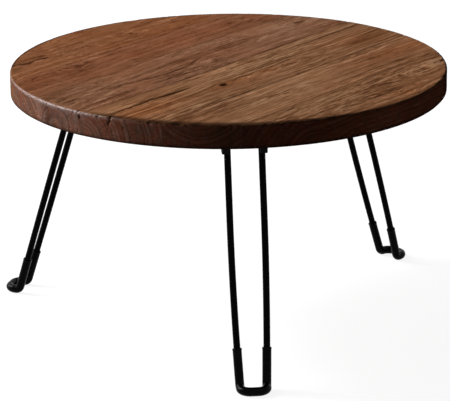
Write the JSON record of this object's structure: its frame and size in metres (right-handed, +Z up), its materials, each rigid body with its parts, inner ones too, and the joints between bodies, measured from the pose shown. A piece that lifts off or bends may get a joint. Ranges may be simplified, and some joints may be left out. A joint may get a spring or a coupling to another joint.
{
  "type": "folding low table",
  "caption": "Round low table: a thick top of old boards on splayed hairpin wire legs that fold flat under it, with sleeved feet.",
  "frame": {"origin": "on the floor, under the middle of the whole outline with the feet, 17 mm in front of the tabletop's own centre", "axes": "+Z up, -Y the front, with leg 1 standing 7.5 degrees to the left of it, +X to the right seen from the front"},
  "size_m": [0.6026, 0.6343, 0.356],
  "materials": {
    "old_wood": "old reclaimed hardwood, oiled satin",
    "dowel_wood": "plain beech dowel",
    "bracket_black": "black baked paint, satin",
    "screw_steel": "black zinc",
    "wire_black": "black baked paint, satin",
    "sleeve_black": "soft black PVC tube, slightly glossy",
    "nut_steel": "blackened spring steel"
  },
  "bodies": {
    "tabletop": {"top_board_1": "old_wood", "top_board_2": "old_wood", "top_board_3": "old_wood", "top_board_4": "old_wood", "top_board_5": "old_wood", "top_board_6": "old_wood", "seam_1_dowels": "dowel_wood", "seam_2_dowels": "dowel_wood", "seam_3_dowels": "dowel_wood", "seam_4_dowels": "dowel_wood", "seam_5_dowels": "dowel_wood", "hinge_bracket_1": "bracket_black", "bracket_1_screws": "screw_steel", "hinge_bracket_2": "bracket_black", "bracket_2_screws": "screw_steel", "hinge_bracket_3": "bracket_black", "bracket_3_screws": "screw_steel"},
    "leg_1": {"leg_1_wire": "wire_black", "leg_1_foot_sleeve": "sleeve_black", "leg_1_push_nuts": "nut_steel"},
    "leg_2": {"leg_2_wire": "wire_black", "leg_2_foot_sleeve": "sleeve_black", "leg_2_push_nuts": "nut_steel"},
    "leg_3": {"leg_3_wire": "wire_black", "leg_3_foot_sleeve": "sleeve_black", "leg_3_push_nuts": "nut_steel"}
  },
  "joints": [
    {"name": "leg_1_fold", "type": "hinge", "parent": "tabletop", "child": "leg_1", "pos_m": [-0.02819, -0.19703, 0.312], "axis": [0.9914, -0.1305, 0], "range_deg": [0, 108]},
    {"name": "leg_2_fold", "type": "hinge", "parent": "tabletop", "child": "leg_2", "pos_m": [0.19072, 0.11853, 0.312], "axis": [-0.4695, 0.8829, 0], "range_deg": [0, 105]},
    {"name": "leg_3_fold", "type": "hinge", "parent": "tabletop", "child": "leg_3", "pos_m": [-0.19072, 0.11853, 0.312], "axis": [-0.4695, -0.8829, 0], "range_deg": [0, 100.5]}
  ]
}
